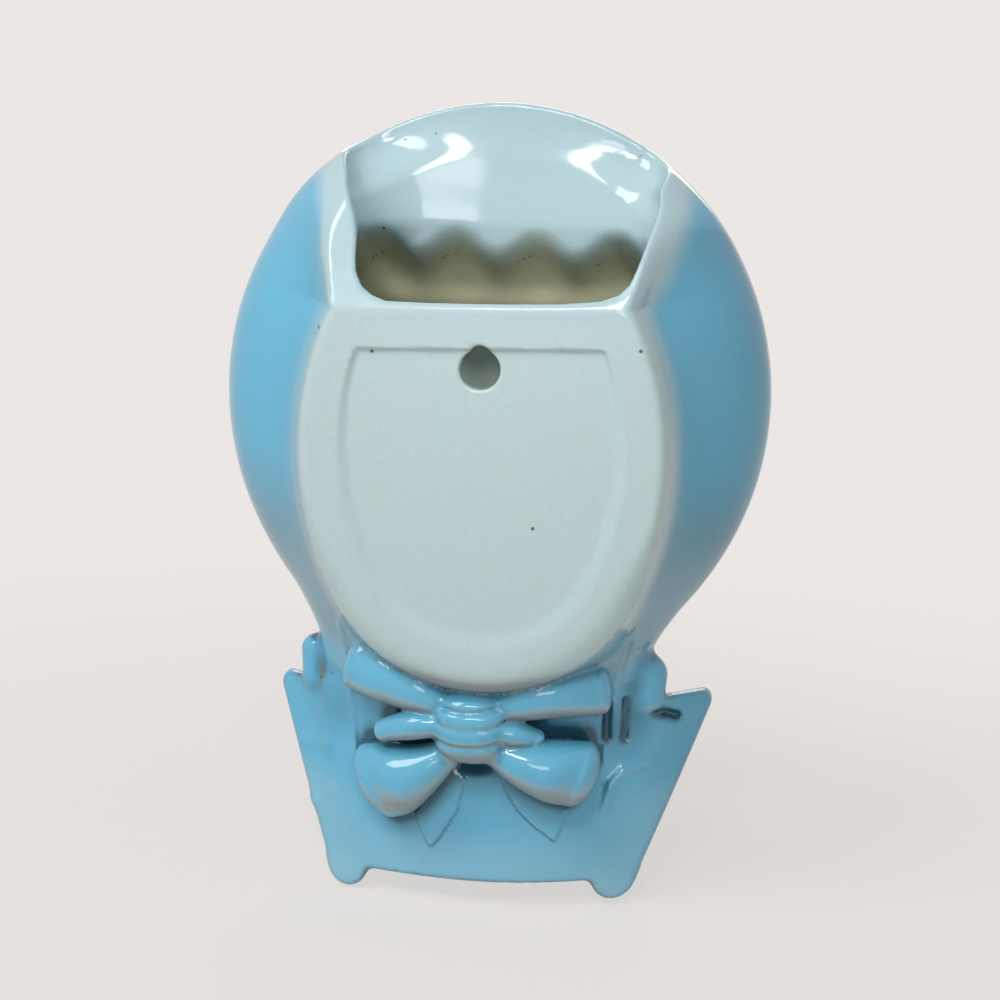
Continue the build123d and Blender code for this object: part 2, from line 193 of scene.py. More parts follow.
mouth = {
    # places round the edge on the leaning face, from the left corner down and round to the right corner
    "edge": (
        (-30.6, 40.0), (-30.0, 37.7), (-28.7, 34.7), (-27.6, 31.6), (-26.9, 28.5), (-26.5, 25.5),
        (-26.2, 22.0), (-25.9, 20.0), (-24.6, 17.4), (-22.6, 15.8), (-19.7, 14.6), (-10.3, 14.2),
        (4.4, 14.0), (16.8, 14.1), (25.0, 14.7), (28.6, 15.9), (30.6, 17.7), (32.2, 20.6), (32.9, 22.2),
        (33.9, 25.0), (34.8, 27.6), (35.8, 30.6), (36.4, 33.5), (36.2, 36.0),
    ),
    "rimInset": 1.6,        # the rim over the top keeps this much inside the bonnet's outline
    "rimY": 36.0, "edgeRound": 1.2, "joinRound": 6.0,
    "sideRound": (3.0, 9.0),        # low at the mouth's sides, and how much is added higher up
    "scoopX": 4.0, "scoopCurve": 95.0, "scoopFade": 11.0,
    "scoopHeights": (18, 22, 26, 30, 34, 38, 42, 46, 50, 54),
    "scoopDepths": (30.4, 30.6, 31.0, 31.7, 32.7, 33.7, 34.5, 35.1, 35.5, 35.6),
    "underHeights": (8, 11, 14, 17, 20, 23, 26, 29, 32, 35),
    "underDepths": (40, 39.3, 38.2, 36.5, 34, 31.5, 28, 24, 12, 0),
    "wallHeights": (-16, -8, 0, 8, 14, 20, 24, 28), "wallDepths": (70, 66, 56, 41.5, 38.4, 35, 32, 28),
    "browZ": 21.5, "browWave": 2.8, "browPitch": 17.5, "browShift": 9.6, "browRound": 7.0, "lumpDepth": 3.2,
    "ribPitch": 8.8, "ribDepth": 1.1, "ribsFrom": (40, 12), "ribsBelow": (20, -8),
}
mouthOpen = FlatMap(mouth["edge"] + ((60.0, 90.0), (-52.0, 90.0)))

neck = {
    # down the neck: z, half width, half depth, middle y
    "sections": (
        (-50, 39.5, 22.0, 30.0), (-58, 39.5, 22.0, 30.0), (-70, 37.1, 20.9, 30.0), (-82, 33.2, 18.0, 30.0),
        (-94, 26.1, 13.0, 30.0), (-104.8, 14.2, 7.9, 23.8), (-110, 4.7, 3.1, 20.8), (-125, 3.5, 2.4, 20.0),
    ),
    "top": -52.0, "foot": -109.5, "floor": -90.0, "throatTop": -40.0, "wall": 4.5, "blend": 6.0,
}

collar = {
    "turn": 1.0, "axisY": 78.0, "joinZ": -90.0, "flare": 6.0, "thickness": 4.0,
    "corners": ((-46.6, -79.2), (48.4, -79.6), (33.8, -114.8), (-33.2, -114.6)),
    "cornerRadius": 2.8, "lobeRadius": 5.0, "lobeX": 30.6, "lobeZ": -117.3, "lobeBlend": 2.2,
    "edgeRound": 1.6, "blend": 5.0, "wave": 0.35,
    "joinY": 13.83,         # how far from the wall the collar's wall side stands at that height
}
cornerMap = FlatMap(collar["corners"])
tailLines = {
    "bowTailLeft": ((-7.0, -88.0), (-4.4, -88.0), (-3.2, -94.0), (-4.6, -101.0), (-8.4, -107.6),
                    (-10.6, -110.2), (-12.6, -106.8), (-14.4, -102.6), (-11.2, -97.0)),
    "bowTailRight": ((2.7, -88.0), (8.1, -88.0), (13.4, -93.4), (19.6, -100.6), (19.0, -103.6),
                     (17.4, -107.8), (12.6, -104.2), (8.6, -100.2), (5.4, -95.0)),
}
tailMaps = {name: FlatMap(points) for name, points in tailLines.items()}

# Low relief on the collar and the neck: how high or deep, and how wide it is drawn
relief = {
    "seam": (0.35, 0.8), "seamTo": 30, "creaseWidth": 1.2,
    "tuck": (1.6, 1.0), "tuckTo": 34,
    "dimple": (0.6, 3.0), "tail": (0.8, 0.4), "tailDeep": 1.6,
    "pitX": 0.5, "pitZ": -90.6, "pit": (2.4, 22, 5), "pitTo": 5,
    "skinDeep": 3,      # relief lies no deeper than this behind the wall side
}
seams = (
    FlatMap(((-31.0, -60.0), (-30.3, -65.1), (-29.0, -77.8), (-27.4, -92.0)), closed=False),
    FlatMap(((33.5, -60.0), (31.6, -68.0), (30.0, -77.0), (29.0, -90.0)), closed=False),
)
creases = (
    (FlatMap(((29.8, -100.7), (31.1, -94.6), (33.9, -91.6), (39.4, -89.9)), closed=False), 1.2),
    (FlatMap(((-36.8, -84.0), (-35.0, -88.5), (-34.4, -93.0)), closed=False), 0.6),
)
tucks = (((29.4, -84.0), (29.4, -75.5)), ((33.2, -84.4), (33.4, -75.5)), ((39.9, -79.0), (44.5, -80.6)))
dimples = ((-40.0, -91.6), (-35.0, -90.6), (-37.4, -104.6))


def bonnetForm(x, y, z, inset=0.0, lobe=None):
    width = bonnet["halfWidth"] - inset
    lobe = (bonnet["backLobe"] if lobe is None else lobe) - inset
    bulge = bonnet["frontBulge"] - inset
    level = (z - bonnet["centreZ"]) * width / (bonnet["halfHeight"] - inset)
    r = np.sqrt(x * x + level * level)
    depth = y - bonnet["middleY"]
    back = np.sqrt(np.maximum(r - (width - lobe), 0) ** 2 + depth ** 2) - lobe
    return np.where(depth < 0, back, rounded((r, depth), (width, bulge)))


def bonnetOutline(x, y, z, inset=0.0):
    # the bonnet's oval as it is seen from the wall
    half = (bonnet["halfWidth"] - inset, 1e3, bonnet["halfHeight"] - inset)
    return oval(x, 0 * y, z, (0, 0, bonnet["centreZ"]), half)


def flankForm(x, y, z, inset=0.0):
    px, pz = turnedBack(x, z, plate["turn"])
    spread = math.radians(plate["flankAngle"])
    side = (plateMap(px, pz) + inset - (y - plate["rimY"]) * math.tan(spread)) * math.cos(spread)
    reach = plate["flankInset"] + inset
    form = keepInside(side, bonnetOutline(x, y, z, reach), 5.0)
    form = keepInside(form, y - plate["flankDepth"], 5.0)
    shoulder = bonnetForm(x, y, z, reach, bonnet["shoulderLobe"])
    shoulder = shoulder - np.clip((plate["ridgeZ"] + 2 - z) * 0.7, 0, 25)
    return keepInside(form, shoulder, 3.0)


def faceForm(x, y, z):
    # the face round the mouth, leaning away from the wall above the ridge
    px, pz = turnedBack(x, z, plate["turn"])
    lean = math.radians(plate["faceAngle"])
    return ((pz - plate["ridgeZ"]) * math.tan(lean) - (y - plate["rimY"])) * math.cos(lean)


def recessMap(px, pz):
    return keepInside(plateMap(px, pz) + plate["recessMargin"], pz - plate["recessTop"], 1.0)


def rimForm(x, y, z):
    px, pz = turnedBack(x, z, plate["turn"])
    inside = -recessMap(px, pz)
    slope = np.interp(pz, plate["slopeHeights"], plate["slopeWidths"])
    return plate["rimY"] + smoothRamp(inside / slope) * plate["recessDepth"] - y


def neckSizes(z):
    rows = np.array(neck["sections"])[::-1]
    return [np.interp(z, rows[:, 0], rows[:, column]).astype(np.float32) for column in (1, 2, 3)]


def neckForm(x, y, z, inset=0.0):
    width, depth, middle = neckSizes(z)
    return rounded((x, y - middle), (np.maximum(width - inset, 0.5), np.maximum(depth - inset, 0.5)))


def collarSkin(x, y, z):
    # how far behind the collar's wall side a place lies
    turned = math.radians(collar["flare"])
    across = np.sqrt(x * x + (y - collar["joinY"] - collar["axisY"]) ** 2)
    back = collar["axisY"] - (z - collar["joinZ"]) * math.tan(turned)
    return (back - across) * math.cos(turned)


def collarOutline(x, z):
    px, pz = turnedBack(x, z, collar["turn"])
    outline = cornerMap(px, pz) - collar["cornerRadius"]
    for side in (-1, 1):
        away = np.sqrt((px - side * collar["lobeX"]) ** 2 + (pz - collar["lobeZ"]) ** 2)
        outline = join(outline, away - collar["lobeRadius"], collar["lobeBlend"])
    return outline


def tuckAway(x, z):
    # how far from the nearest of the tucks between the gathers
    lines = [taper(x, 0 * x, z, (ax, 0, az), (bx, 0, bz), 0.0, 0.0) for (ax, az), (bx, bz) in tucks]
    return np.minimum(np.minimum(lines[0], lines[1]), lines[2])


def collarForm(x, y, z):
    skin = collarSkin(x, y, z)
    half = collar["thickness"] / 2
    wave = collar["wave"] * np.sin(x / 8.5 + 0.6) * np.sin(z / 11.0)
    slab = np.abs(skin - half + wave) - half
    return keepInside(slab, collarOutline(x, z), collar["edgeRound"])


# Bow: each ribbon loop has a root, a tip, and sizes along it
bow = {
    "centre": (0.2, 7.4, -79.2), "knotHalf": (8.6, 7.2, 8.6), "blend": 0.9,
    "knotBands": ((4.2, 0.55), (0.4, 0.35), (-3.6, 0.5)),       # height and depth of the knot's creases
    "along": (0.0, 0.35, 0.75, 1.0),
}
loops = {
    "bowLoopUpperLeft": {
        "root": (-5.0, 7.5, -75.6), "tip": (-26.4, 13.5, -68.4), "bend": (0.0, -1.5, 1.0),
        "high": (3.2, 5.4, 6.6, 6.4), "deep": (3.6, 5.6, 6.4, 5.0), "cap": 3.0,
        "hollow": ((-20.6, 6.2, -79.4), (7.8, 6.2, 3.2), -20),
    },
    "bowLoopUpperRight": {
        "root": (5.0, 7.5, -75.4), "tip": (27.8, 14.0, -71.0), "bend": (0.0, -1.5, 1.6),
        "high": (3.2, 5.2, 6.0, 5.6), "deep": (3.6, 5.6, 6.4, 5.0), "cap": 2.6,
        "hollow": ((21.0, 6.2, -80.2), (7.4, 6.2, 2.8), 8),
    },
    "bowLoopLowerLeft": {
        "root": (-5.0, 8.0, -86.6), "tip": (-20.6, 12.5, -95.4), "bend": (-1.0, -1.4, -0.8),
        "high": (3.4, 5.6, 8.6, 9.2), "deep": (4.0, 6.2, 8.4, 7.2), "cap": 4.4,
    },
    "bowLoopLowerRight": {
        "root": (5.0, 8.0, -84.4), "tip": (24.0, 12.5, -90.4), "bend": (0.5, -1.2, -0.8),
        "high": (3.4, 5.4, 7.4, 7.8), "deep": (4.0, 6.2, 8.0, 6.6), "cap": 4.2,
    },
    "bowFoldLeft": {
        "root": (-6.0, 6.4, -79.2), "tip": (-19.4, 8.6, -82.4), "bend": (0.0, -1.2, 0.8),
        "along": (0.0, 0.5, 1.0), "high": (3.0, 3.4, 2.6), "deep": (3.6, 4.0, 3.0), "cap": 2.2,
    },
    "bowFoldRight": {
        "root": (6.0, 6.4, -80.0), "tip": (14.5, 8.2, -81.8), "bend": (0.0, -0.8, 0.5),
        "along": (0.0, 0.5, 1.0), "high": (2.8, 3.0, 2.2), "deep": (3.6, 3.8, 2.8), "cap": 2.0,
    },
}
gathers = {
    "gatherOuterLeft": {"low": (-39.0, 27.5, -76.4), "high": (-38.9, 28.6, -70.4), "radii": (2.9, 3.6)},
    "gatherOuterRight": {"low": (37.4, 27.0, -75.4), "high": (37.2, 28.0, -71.0), "radii": (4.4, 5.0)},
    "gatherInnerLeft": {"low": (-32.4, 24.6, -86.0), "high": (-32.8, 26.0, -68.0), "radii": (1.8, 3.2)},
    "gatherInnerRight": {"low": (31.2, 24.4, -86.0), "high": (31.6, 25.6, -70.0), "radii": (1.6, 2.6)},
}
ribbon = {"top": -71.0, "width": 9.0, "proud": 2.0, "backY": 34.0, "round": 1.5}


def loopForm(x, y, z, loop):
    root, tip = np.array(loop["root"]), np.array(loop["tip"])
    run = tip - root
    length = math.hypot(run[0], run[2])
    ax, az = run[0] / length, run[2] / length
    dx, dz = x - root[0], z - root[2]
    along = (dx * ax + dz * az) / length
    t = np.clip(along, 0, 1)
    arch = 4 * t * (1 - t)
    ux, uz = -az * np.sign(ax), abs(ax)
    up = dx * ux + dz * uz - loop["bend"][2] * arch
    depth = y - root[1] - run[1] * t - loop["bend"][1] * arch
    places = [place * 40 for place in loop.get("along", bow["along"])]
    high = smoothTable(t * 40, places, loop["high"], 4.0)
    deep = smoothTable(t * 40, places, loop["deep"], 4.0)
    past = np.maximum(along - 1, 0) * length / loop["cap"] + np.maximum(-along, 0) * length / 2.5
    k = np.sqrt((up / high) ** 2 + (depth / deep) ** 2 + past ** 2)
    form = (k - 1) * np.minimum(high, deep)
    if "hollow" in loop:
        centre, half, tilt = loop["hollow"]
        hx, hz = turnedBack(x - centre[0], z - centre[2], tilt)
        form = cut(form, oval(hx, y, hz, (0, centre[1], 0), half), 1.2)
    return form


def knotForm(x, y, z):
    sides = zip((x, y, z), bow["centre"], bow["knotHalf"])
    reach = [np.abs(place - middle) / half for place, middle, half in sides]
    squared = (reach[0] ** 2.6 + reach[1] ** 2.2 + reach[2] ** 2.6) ** (1 / 2.5)
    form = (squared - 1) * bow["knotHalf"][1]
    level = z - bow["centre"][2] - x * 0.04
    for height, size in bow["knotBands"]:
        form = form + size * np.exp(-((level - height - 0.02 * x * x) / 0.7) ** 2)
    return form


def trimmings(x, y, z):
    # what is built up on the neck, by name
    forms = {"bowKnot": knotForm(x, y, z)}
    for name, loop in loops.items():
        forms[name] = loopForm(x, y, z, loop)
    for name, row in gathers.items():
        forms[name] = taper(x, y, z, row["low"], row["high"], *row["radii"])
    band = np.abs(z - ribbon["top"] + ribbon["width"] / 2) - ribbon["width"] / 2
    strip = keepInside(neckForm(x, y, z) - ribbon["proud"], band, ribbon["round"])
    forms["neckRibbon"] = keepInside(strip, ribbon["backY"] - y, ribbon["round"])
    return forms


pieceNames = (
    "rearPlate", "pocketBack", "pocketFront", "neck", "collar", "bowKnot", *loops,
    "bowTailLeft", "bowTailRight", *gathers, "neckRibbon",
)
blends = {      # how softly a trimming runs into the neck, where it isn't as the bow does
    "bowKnot": 1.0, "neckRibbon": 1.0, "gatherOuterLeft": 2.0, "gatherOuterRight": 2.5,
    "gatherInnerLeft": 4.0, "gatherInnerRight": 4.0,
}


def underKnot(x, z, wide, high):
    # 1 in the pit under the bow's knot, 0 away from it
    return np.exp(-(x - relief["pitX"]) ** 2 / wide - (z - relief["pitZ"]) ** 2 / high)


def withRelief(form, x, y, z):
    # the form with its seams, creases, tucks, dimples, pit and ribbon tails, and each tail's own form
    skin = collarSkin(x, y, z)
    shallow = skin < relief["skinDeep"]
    size, width = relief["seam"]
    for seam in seams:
        form = form - size * np.exp(-(seam(x, z) / width) ** 2) * ramp(y, relief["seamTo"], -8)
    for crease, size in creases:
        form = form - size * np.exp(-(crease(x, z) / relief["creaseWidth"]) ** 2) * shallow
    size, width = relief["tuck"]
    form = form + size * np.exp(-(tuckAway(x, z) / width) ** 2) * shallow * (y < relief["tuckTo"])
    size, width = relief["dimple"]
    for dimpleX, dimpleZ in dimples:
        form = form - size * np.exp(-((x - dimpleX) ** 2 + (z - dimpleZ) ** 2) / width) * shallow
    size, *spread = relief["pit"]
    form = form + size * underKnot(x, z, *spread) * (skin < relief["pitTo"])
    size, edge = relief["tail"]
    tails = {}
    for name, outline in tailMaps.items():
        inside = -outline(*turnedBack(x, z, collar["turn"]))
        form = form - size * ramp(inside, -edge, 2 * edge) * shallow
        tails[name] = keepInside(-inside, np.abs(skin) - relief["tailDeep"], 0.1)
    return form, tails


def browLumps(x):
    # 1 at each lump that hangs between two hollows, 0 in the hollows
    return 0.5 - 0.5 * np.cos(2 * np.pi * (x + mouth["browShift"]) / mouth["browPitch"])


def hollowForm(x, y, z, face):
    # the inside: main hollow up to the brow, the scoop that opens through the mouth, and the neck
    wall = bonnet["wall"]
    ribs = mouth["ribDepth"] * np.cos(2 * np.pi * x / mouth["ribPitch"])
    ribs = ribs * ramp(y, *mouth["ribsFrom"]) * ramp(z, *mouth["ribsBelow"])
    hollow = join(bonnetForm(x, y, z, wall), flankForm(x, y, z, wall + 0.3), 8.0) - ribs
    hollow = keepInside(hollow, plate["insideY"] - y, 3.0)
    hollow = keepInside(hollow, face + plate["faceWall"], 2.0)
    wallY = smoothTable(z, mouth["wallHeights"], mouth["wallDepths"]) - ribs * 0.8
    hollow = keepInside(hollow, (y - wallY) * 0.75, 6.0)
    lumps = browLumps(x)
    brow = mouth["browZ"] + mouth["browWave"] * (1 - 2 * lumps) + 3.0 * ramp(y, 44, 14)
    hollow = keepInside(hollow, z - brow, mouth["browRound"])

    scoopY = smoothTable(z, mouth["scoopHeights"], mouth["scoopDepths"], 3.0)
    scoopY = scoopY - (x - mouth["scoopX"]) ** 2 / (2 * mouth["scoopCurve"])
    own = smoothRamp(-bonnetOutline(x, y, z, mouth["rimInset"]) / mouth["scoopFade"])
    bowl = (y - scoopY * own - mouth["rimY"] * (1 - own)) * 0.9
    underY = smoothTable(z, mouth["underHeights"], mouth["underDepths"])
    underY = underY - mouth["lumpDepth"] * lumps * ramp(z, 30, -7) * ramp(z, 2, 10)
    bowl = join(bowl, (y - underY) * 0.5, 5.0)
    lowRound, moreRound = mouth["sideRound"]
    sideRound = lowRound + moreRound * ramp(z, 19, 9)
    opening = mouthOpen(*turnedBack(x, z, plate["turn"]))
    hollow = join(hollow, keepInside(opening, bowl, sideRound), mouth["joinRound"])

    throat = keepInside(neckForm(x, y, z, neck["wall"]), neck["floor"] - z, 4.0)
    return join(hollow, keepInside(throat, z - neck["throatTop"], 4.0), 6.0)


def holeForm(x, y, z):
    # keyhole: a round hole with a short slot above it
    hole = np.sqrt(x * x + z * z) - plate["holeRadius"]
    slotZ = np.clip(z, 0, plate["slotTop"] - plate["slotHalf"])
    hole = np.minimum(hole, np.sqrt(x * x + (z - slotZ) ** 2) - plate["slotHalf"])
    return keepInside(hole, y - plate["holeDeep"], 0.5)


def castingForm(x, y, z, naming=False):
    # signed distance to the surface of the casting, and with naming the number of the nearest piece
    body = join(bonnetForm(x, y, z), flankForm(x, y, z), plate["flankBlend"])
    body = keepInside(body, bonnetOutline(x, y, z), 1.0)
    body = body + bonnet["waviness"] * (1 + np.sin(x / 7.5 + 1.0) * np.sin(z / 9.5 + 0.5) * np.sin(y / 12.0))
    neckOnly = keepInside(keepInside(neckForm(x, y, z), neck["foot"] - z, 5.0), z - neck["top"], 3.0)
    low = float(np.min(z)) < claySteps["bowTop"]
    form = join(body, neckOnly, neck["blend"])
    if low:
        collarOnly = collarForm(x, y, z)
        form = join(form, collarOnly, collar["blend"])
    rimRound = plate["rimRound"] + plate["lowRound"] * ramp(z, *plate["lowRoundFade"])
    form = keepInside(form, rimForm(x, y, z), rimRound)
    face = faceForm(x, y, z)
    form = keepInside(form, face, plate["ridgeRound"])
    if low:
        form, tails = withRelief(form, x, y, z)
        extras = trimmings(x, y, z)
        for name, extra in extras.items():
            form = join(form, extra, blends.get(name, bow["blend"]))
    form = cut(form, hollowForm(x, y, z, face), mouth["edgeRound"])
    form = cut(form, holeForm(x, y, z), plate["holeRound"])
    if not naming:
        return form

    numbers = {name: number + 1 for number, name in enumerate(pieceNames)}
    label = np.where(y < plate["insideY"], numbers["rearPlate"],
                     np.where(y < bonnet["middleY"], numbers["pocketBack"], numbers["pocketFront"]))
    label = label + np.zeros(form.shape, int)
    best = np.minimum(body, 50.0) + 0 * form - 0.01
    rivals = {"neck": neckOnly}
    if low:
        rivals.update({"collar": collarOnly, **extras})
    for name, rival in rivals.items():
        near = (rival < best) & (body > 0)
        label = np.where(near, numbers[name], label)
        best = np.where(near, rival, best)
    if low:
        for name, tail in tails.items():
            onCollar = (label == numbers["collar"]) & (tail < 0)
            label = np.where(onCollar, numbers[name], label)
    return form, np.where(form < 0, label, 0).astype(np.int8)


def castPieces():
    # surface nets over a box of clay: one corner for each cell that the surface or a joint crosses
    xs, ys, zs = (stepped(claySteps[axis]) for axis in "xyz")
    form = np.zeros((len(xs), len(ys), len(zs)), np.float32)
    label = np.zeros(form.shape, np.int8)
    top = int(np.searchsorted(zs, claySteps["bowTop"]))
    for first, last in ((0, top), (top, len(zs))):
        block = castingForm(xs[:, None, None], ys[None, :, None], zs[None, None, first:last], naming=True)
        form[:, :, first:last], label[:, :, first:last] = block
    print("clay sampled:", form.shape)

    offsets = [(i, j, k) for i in (0, 1) for j in (0, 1) for k in (0, 1)]
    nx, ny, nz = (size - 1 for size in form.shape)
    corners = [label[i:i + nx, j:j + ny, k:k + nz] for i, j, k in offsets]
    mixed = np.zeros((nx, ny, nz), bool)
    for corner in corners[1:]:
        mixed |= corner != corners[0]
    ci, cj, ck = np.nonzero(mixed)
    cellNumber = np.full((nx, ny, nz), -1, np.int64)
    cellNumber[ci, cj, ck] = np.arange(len(ci))
    cornerForm = np.stack([form[ci + i, cj + j, ck + k] for i, j, k in offsets], 1)
    cornerLabel = np.stack([label[ci + i, cj + j, ck + k] for i, j, k in offsets], 1)
    place = np.zeros((2, len(ci), 3))
    count = np.zeros((2, len(ci)))
    for a, (ai, aj, ak) in enumerate(offsets):
        for b, (bi, bj, bk) in enumerate(offsets):
            if b <= a or abs(ai - bi) + abs(aj - bj) + abs(ak - bk) != 1:
                continue
            la, lb = cornerLabel[:, a], cornerLabel[:, b]
            fa, fb = cornerForm[:, a], cornerForm[:, b]
            skin = (la != lb) & ((la == 0) | (lb == 0))
            joint = (la != lb) & ~skin
            gap = fa - fb
            t = np.where(skin, np.clip(fa / np.where(np.abs(gap) < 1e-6, 1, gap), 0, 1), 0.5)
            start = np.stack([xs[ci + ai], ys[cj + aj], zs[ck + ak]], 1)
            end = np.stack([xs[ci + bi], ys[cj + bj], zs[ck + bk]], 1)
            middle = start + (end - start) * t[:, None]
            for kind, use in ((0, skin), (1, joint)):
                place[kind] += middle * use[:, None]
                count[kind] += use
    onSkin = count[0] > 0
    points = np.where(onSkin[:, None], place[0] / np.maximum(count[0], 1)[:, None],
                      place[1] / np.maximum(count[1], 1)[:, None])

    quads = []
    for axis in range(3):
        low = [slice(None)] * 3
        high = [slice(None)] * 3
        low[axis], high[axis] = slice(0, -1), slice(1, None)
        la, lb = label[tuple(low)], label[tuple(high)]
        ei, ej, ek = np.nonzero(la != lb)
        edge = [ei, ej, ek]
        first, second = (axis + 1) % 3, (axis + 2) % 3
        inner = (edge[first] > 0) & (edge[second] > 0)
        inner &= (edge[first] < form.shape[first] - 1) & (edge[second] < form.shape[second] - 1)
        edge = [side[inner] for side in edge]
        around = []
        for stepFirst, stepSecond in ((1, 1), (0, 1), (0, 0), (1, 0)):
            cell = [side.copy() for side in edge]
            cell[first] -= stepFirst
            cell[second] -= stepSecond
            around.append(cellNumber[tuple(cell)])
        quads.append((np.stack(around, 1), la[tuple(edge)], lb[tuple(edge)]))
    return points, onSkin, quads


def formAt(points, shift=(0, 0, 0)):
    # in two lots, because only the low points are measured with the trimmings
    value = np.zeros(len(points))
    low = points[:, 2] < claySteps["bowTop"] + 1
    for lot in (low, ~low):
        if lot.any():
            value[lot] = castingForm(*(points[lot][:, axis] + shift[axis] for axis in range(3)))
    return value


def measured(points, step=0.15):
    # form and its slope at loose points
    slope = np.zeros((len(points), 3))
    for axis, shift in enumerate(step * np.eye(3)):
        slope[:, axis] = (formAt(points, shift) - formAt(points, -shift)) / (2 * step)
    return formAt(points), slope


def unit(vectors):
    return vectors / np.maximum(np.linalg.norm(vectors, axis=1), 1e-6)[:, None]


points, onSkin, quads = castPieces()
print("places on the casting:", len(points), "of them on its skin:", int(onSkin.sum()))
skinPoints = points[onSkin]
for turn in range(3):
    value, slope = measured(skinPoints)
    steep = np.maximum((slope ** 2).sum(1), 0.05)
    move = -slope * (value / steep)[:, None]
    length = np.linalg.norm(move, axis=1)
    skinPoints = skinPoints + move * np.minimum(1, 0.5 / np.maximum(length, 1e-6))[:, None]
value, slope = measured(skinPoints)
skinNormals = unit(slope)
points[onSkin] = skinPoints
normals = np.zeros_like(points)
normals[onSkin] = skinNormals
print("casting settled, largest miss", round(float(np.abs(value).max()), 3))


# Where the colour was sprayed, how the glaze lies and where painted shade falls, from 0 to 1 at each place.
# Pairs are fades: where one starts and over what width it runs.
spray = {
    "offPlate": (0.6, 4.0), "offWall": (-0.6, 2.5), "offFace": (0.8, 2.0), "offMouth": (3.0, 7.0),
    "front": (32, 8), "upBack": (-54.0, 34.0),
    "mist": 0.16, "mistUp": (8.0, 8.0),             # a breath of blue over the face round the mouth
    "hollow": (0.0, 1.5), "neckInside": (-94, -62), "scoopFloor": 12,
    "low": (-60, -8), "onUpperSide": (-0.62, 0.55), "raised": (0.5, 2.5),
    "collar": (2, 16), "lobe": (8, -6), "lobeX": 31.0, "lobeZ": -120.0, "lobePale": 0.12,
    "bareUnderside": 0.75,
}
# painted shade: how the glaze is drawn darker in hollows and corners (partly real pooling), in the pit under the
# knot, in the tucks, beside the gathers, low on the back and on the right side
poolingAndShade = {
    "nearReach": 2.6, "farReach": 6.0, "near": (0.0, 0.8), "far": (0.25, 0.7), "farShare": 0.7,
    "onTop": (-0.1, 0.6), "pit": (26, 7), "pitTo": 22, "tuckWidth": 1.7,
    "gatherX": 33, "gatherWidth": 7, "gatherUp": (-92, 12), "gatherShare": 0.45, "gatherTo": 40,
    "shadeDown": (-18, -34), "shadeOffPlate": (1.0, 3.0),
    "shadeRight": (34, 14), "shadeOffFace": (0.8, 6.0), "shadeShare": 0.6,
}
# worn edges where the clay is thin, and painted shade with painted warm reflection on the bow's undersides
wearAndShading = {
    "reach": 0.9, "thin": (0.12, 0.5), "edge": (1.5, -1.2), "skin": (-0.6, 4.5), "underside": 0.78,
}
# beige inside, below the brow: partly the inside's own tint, partly painted shade
insideTintAndShade = {"below": 30, "perLump": 4, "width": -10, "deep": (14, 12), "high": (-4, 8)}


